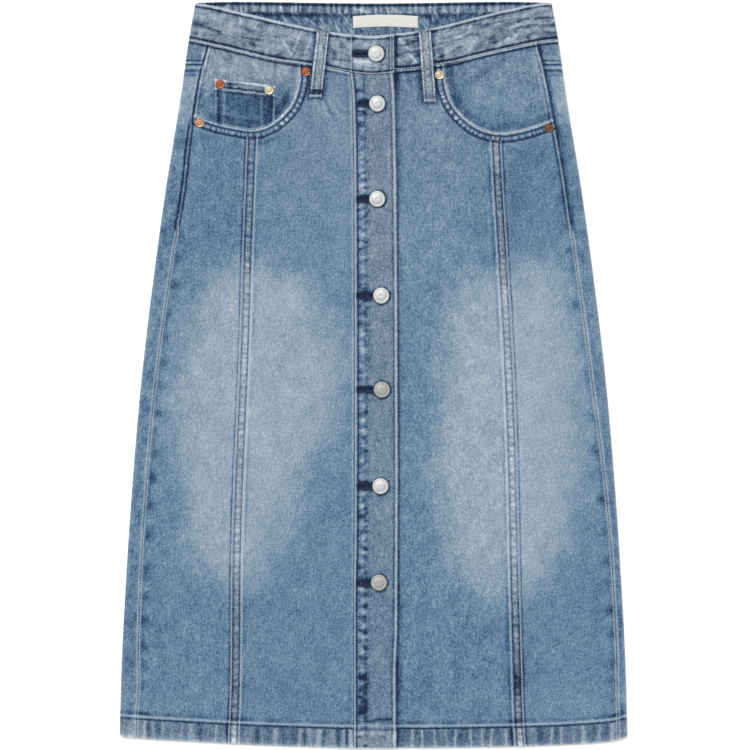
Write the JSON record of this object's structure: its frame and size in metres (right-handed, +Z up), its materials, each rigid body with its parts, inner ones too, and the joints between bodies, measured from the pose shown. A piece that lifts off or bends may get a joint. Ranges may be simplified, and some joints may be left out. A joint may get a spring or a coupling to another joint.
{
  "type": "denim skirt laid flat",
  "caption": "Knee-length to midi A-line denim skirt with a buttoned front placket, scoop pockets and a shaped waistband, lying flat on its back as cloth walls.",
  "frame": {"origin": "on the ground under the middle of the skirt's outline", "axes": "+Y towards the waist, +Z up from the ground through the front of the skirt, +X to the right of someone who looks down on the front with the waist at the top"},
  "size_m": [0.5326, 0.7822, 0.0099],
  "materials": {
    "denim": "stonewashed mid-blue cotton denim, faded on the thighs",
    "denim_pocket": "the same denim, less washed, inside the pockets",
    "label_cloth": "bare cream woven label",
    "button_metal": "satin nickel plating",
    "copper_metal": "polished copper",
    "brass_metal": "pale polished brass"
  },
  "bodies": {
    "root": {"back_left": "denim", "back_right": "denim", "yoke_left": "denim", "yoke_right": "denim", "front_centre_left": "denim", "front_centre_right": "denim", "front_side_left": "denim", "front_side_right": "denim", "placket": "denim", "waistband": "denim", "belt_loop_left": "denim", "belt_loop_right": "denim", "pocket_facing_left": "denim_pocket", "pocket_facing_right": "denim_pocket", "coin_pocket": "denim_pocket", "waist_label": "label_cloth", "button_waist": "button_metal", "button_1": "button_metal", "button_2": "button_metal", "button_3": "button_metal", "button_4": "button_metal", "button_5": "button_metal", "button_6": "button_metal", "rivet_coin_outer": "copper_metal", "rivet_left_waist": "copper_metal", "rivet_left_side": "copper_metal", "rivet_right_side": "copper_metal", "rivet_coin_inner": "brass_metal", "rivet_right_waist": "brass_metal"}
  },
  "joints": []
}
